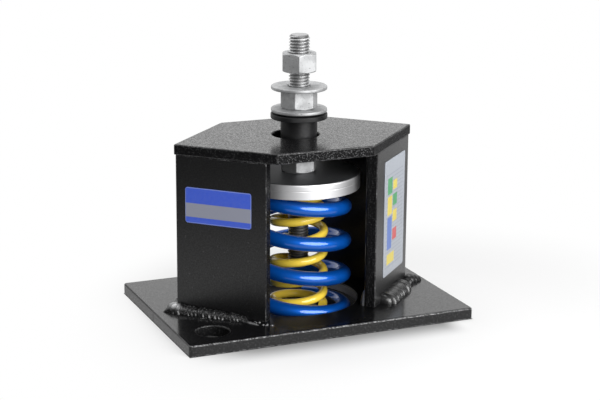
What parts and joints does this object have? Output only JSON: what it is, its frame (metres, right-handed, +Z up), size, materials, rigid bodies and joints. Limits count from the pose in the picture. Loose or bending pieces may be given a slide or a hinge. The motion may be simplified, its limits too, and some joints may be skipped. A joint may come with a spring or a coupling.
{
  "type": "spring vibration isolator",
  "caption": "Open welded steel housing with nested coil springs under a round cap; a threaded stud with nuts, washers and a rubber bush carries a machine and is held against uplift.",
  "frame": {"origin": "centre of the base plate's underside", "axes": "X runs along the base plate's long side, Y along its short side with the shown opening at -Y, Z up along the stud"},
  "size_m": [0.172, 0.12, 0.161],
  "materials": {
    "powder_coat": "black fine-texture powder coat",
    "blue_enamel": "glossy blue enamel",
    "yellow_enamel": "glossy yellow enamel",
    "zinc": "bright zinc plate",
    "cap_metal": "turned",
    "rubber": "matte",
    "label_blue": "satin film",
    "label_pale": "satin film"
  },
  "bodies": {
    "housing": {"base_plate": "powder_coat", "pocket_disc": "powder_coat", "left_angle": "powder_coat", "right_angle": "powder_coat", "top_plate": "powder_coat", "left_weld": "powder_coat", "right_weld": "powder_coat", "left_top_weld": "powder_coat", "right_top_weld": "powder_coat", "left_label": "label_blue", "right_label": "label_pale", "outer_spring": "blue_enamel", "inner_spring": "yellow_enamel"},
    "sprung": {"stud": "zinc", "spring_cap": "cap_metal", "lock_nut": "zinc", "rubber_bush": "rubber", "lower_washer": "zinc", "lower_nut": "zinc", "upper_washer": "zinc"},
    "clamp_nut": {"upper_nut": "zinc"}
  },
  "joints": [
    {"name": "spring_travel", "type": "slide", "parent": "housing", "child": "sprung", "axis": [0, 0, 1], "range_m": [-0.0094, 0.0148], "stiffness_N_per_m": 140000, "deforming": ["outer_spring", "inner_spring"]},
    {"name": "upper_nut_run", "type": "slide", "parent": "sprung", "child": "clamp_nut", "axis": [0, 0, 1], "range_m": [-0.008, 0.01]}
  ]
}
